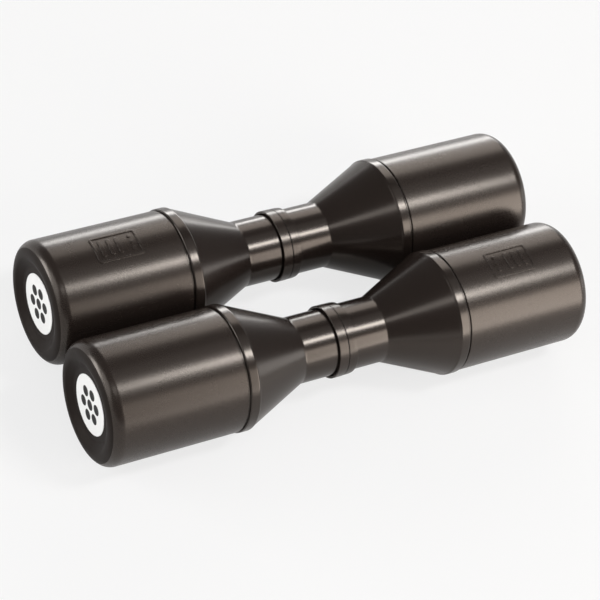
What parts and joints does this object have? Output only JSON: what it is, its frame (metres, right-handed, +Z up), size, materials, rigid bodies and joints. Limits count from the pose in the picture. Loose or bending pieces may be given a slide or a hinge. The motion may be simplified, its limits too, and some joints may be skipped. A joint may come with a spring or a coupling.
{
  "type": "twin-chamber hand shakers",
  "caption": "Dumbbell-shaped hand shakers lying side by side, each with a shot-filled chamber at either end of a slim neck that the hand holds.",
  "frame": {"origin": "centre of the bounding box's floor, midway between the shakers, on the surface that they lie on", "axes": "+X along the shakers' axes towards their right ends, +Y from the front shaker to the rear one, +Z up"},
  "size_m": [0.266, 0.1274, 0.0633],
  "materials": {
    "shell_black": "satin-gloss moulded black-brown ABS",
    "inner_grey": "plain moulded ABS, hidden inside",
    "label_white": "white coated paper sticker",
    "shot_steel": "plain steel balls"
  },
  "bodies": {
    "front_shaker": {"front_left_chamber": "shell_black", "front_left_label": "label_white", "front_left_lid": "inner_grey", "front_left_cone": "shell_black", "front_coupling_ring": "shell_black", "front_joining_tube": "inner_grey", "front_right_cone": "shell_black", "front_right_lid": "inner_grey", "front_right_label": "label_white", "front_right_chamber": "shell_black"},
    "rear_shaker": {"rear_left_chamber": "shell_black", "rear_left_label": "label_white", "rear_left_lid": "inner_grey", "rear_left_cone": "shell_black", "rear_coupling_ring": "shell_black", "rear_joining_tube": "inner_grey", "rear_right_cone": "shell_black", "rear_right_lid": "inner_grey", "rear_right_label": "label_white", "rear_right_chamber": "shell_black"},
    "front_left_balls": {"front_left_shot": "shot_steel"},
    "front_right_balls": {"front_right_shot": "shot_steel"},
    "rear_left_balls": {"rear_left_shot": "shot_steel"},
    "rear_right_balls": {"rear_right_shot": "shot_steel"}
  },
  "joints": [
    {"name": "rear_shaker_lift", "type": "slide", "parent": "front_shaker", "child": "rear_shaker", "axis": [0, 0, 1], "range_m": [0, 0.12]},
    {"name": "front_left_shot_slide", "type": "slide", "parent": "front_shaker", "child": "front_left_balls", "axis": [1, 0, 0], "range_m": [-0.015, 0.015]},
    {"name": "front_right_shot_slide", "type": "slide", "parent": "front_shaker", "child": "front_right_balls", "axis": [1, 0, 0], "range_m": [-0.015, 0.015]},
    {"name": "rear_left_shot_slide", "type": "slide", "parent": "rear_shaker", "child": "rear_left_balls", "axis": [1, 0, 0], "range_m": [-0.015, 0.015]},
    {"name": "rear_right_shot_slide", "type": "slide", "parent": "rear_shaker", "child": "rear_right_balls", "axis": [1, 0, 0], "range_m": [-0.015, 0.015]}
  ]
}
